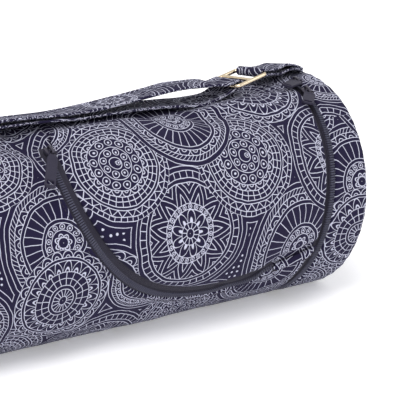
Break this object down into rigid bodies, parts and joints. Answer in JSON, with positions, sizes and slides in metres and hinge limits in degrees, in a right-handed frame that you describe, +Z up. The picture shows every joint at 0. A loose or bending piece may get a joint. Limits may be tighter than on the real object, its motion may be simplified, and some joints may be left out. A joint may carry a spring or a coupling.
{
  "type": "yoga mat bag",
  "caption": "Long round drum bag of printed cloth with a zipped end, a zipped front pocket and a flat carrying strap on two wire slides.",
  "frame": {"origin": "centre of the bag's footprint, on the surface that it lies on", "axes": "+X along the bag towards its zipped end, -Y towards the front with the pocket, +Z up"},
  "size_m": [0.6728, 0.1798, 0.1761],
  "materials": {
    "printed_cloth": "matte cotton, navy with a fine pale print",
    "gold_wire": "polished pale gold",
    "zip_tape": "dark slate woven tape",
    "zip_coil": "dark slate nylon",
    "dark_metal": "dark lacquer",
    "pull_rubber": "soft matte"
  },
  "bodies": {
    "root": {"body_shell": "printed_cloth", "right_end_panel": "printed_cloth", "left_end_panel": "printed_cloth", "pocket_panel": "printed_cloth", "strap": "printed_cloth", "strap_tab": "printed_cloth", "strap_slide": "gold_wire", "strap_adjuster": "gold_wire", "end_zip_tape": "zip_tape", "pocket_zip_tape": "zip_tape", "end_zip_coil": "zip_coil", "pocket_zip_coil": "zip_coil", "end_zip_upper_slider": "dark_metal", "end_zip_lower_slider": "dark_metal", "pocket_zip_slider": "dark_metal", "end_zip_upper_pull": "pull_rubber", "end_zip_lower_pull": "pull_rubber", "pocket_zip_pull": "pull_rubber"}
  },
  "joints": []
}
